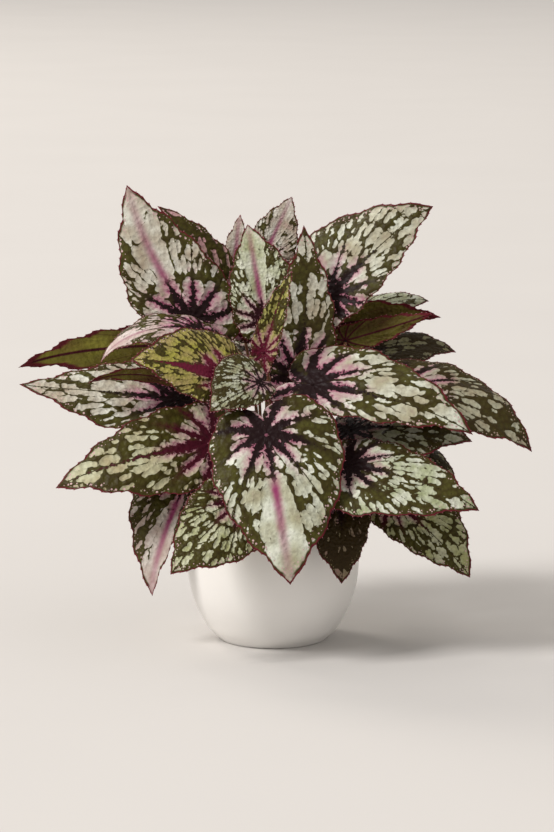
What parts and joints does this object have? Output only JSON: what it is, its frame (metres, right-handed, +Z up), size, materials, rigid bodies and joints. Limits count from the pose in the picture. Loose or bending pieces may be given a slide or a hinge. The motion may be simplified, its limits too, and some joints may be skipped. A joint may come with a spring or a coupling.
{
  "type": "potted rex begonia",
  "caption": "Rex begonia in a round glazed cover pot: lopsided toothed leaves with silver and green bands arch out on bare stalks from the potting soil.",
  "frame": {"origin": "middle of the pot's foot, where it stands", "axes": "+Z up; -Y is the plant's front, the side it is looked at from; +X is to the right of that view"},
  "size_m": [0.4047, 0.2756, 0.3507],
  "materials": {
    "pot_glaze": "satin",
    "potting_soil": "matte",
    "leaf": "satin"
  },
  "bodies": {
    "root": {"pot": "pot_glaze", "potting_soil": "potting_soil", "leaf_upper_left": "leaf", "leaf_upper_left_behind": "leaf", "leaf_top_young": "leaf", "leaf_top_left": "leaf", "leaf_top_back": "leaf", "leaf_top_right": "leaf", "leaf_young_folded": "leaf", "leaf_upper_right": "leaf", "leaf_right_thin": "leaf", "leaf_right_turned_upper": "leaf", "leaf_right_turned_lower": "leaf", "leaf_right_dark": "leaf", "leaf_right_front": "leaf", "leaf_far_right": "leaf", "leaf_right_under": "leaf", "leaf_right_shaded": "leaf", "leaf_lower_right": "leaf", "leaf_hanging_right": "leaf", "leaf_hanging_dark": "leaf", "leaf_front": "leaf", "leaf_front_left": "leaf", "leaf_hanging_left": "leaf", "leaf_left_front": "leaf", "leaf_left_silver": "leaf", "leaf_left_turned": "leaf", "leaf_left_arched": "leaf", "leaf_left_light": "leaf", "leaf_left_narrow": "leaf", "leaf_front_young": "leaf", "leaf_back_top": "leaf", "leaf_back_upper_1": "leaf", "leaf_back_upper_2": "leaf", "leaf_back_upper_3": "leaf", "leaf_back_upper_4": "leaf", "leaf_back_lower_1": "leaf", "leaf_back_lower_2": "leaf", "leaf_back_lower_3": "leaf", "leaf_back_lower_4": "leaf"}
  },
  "joints": []
}
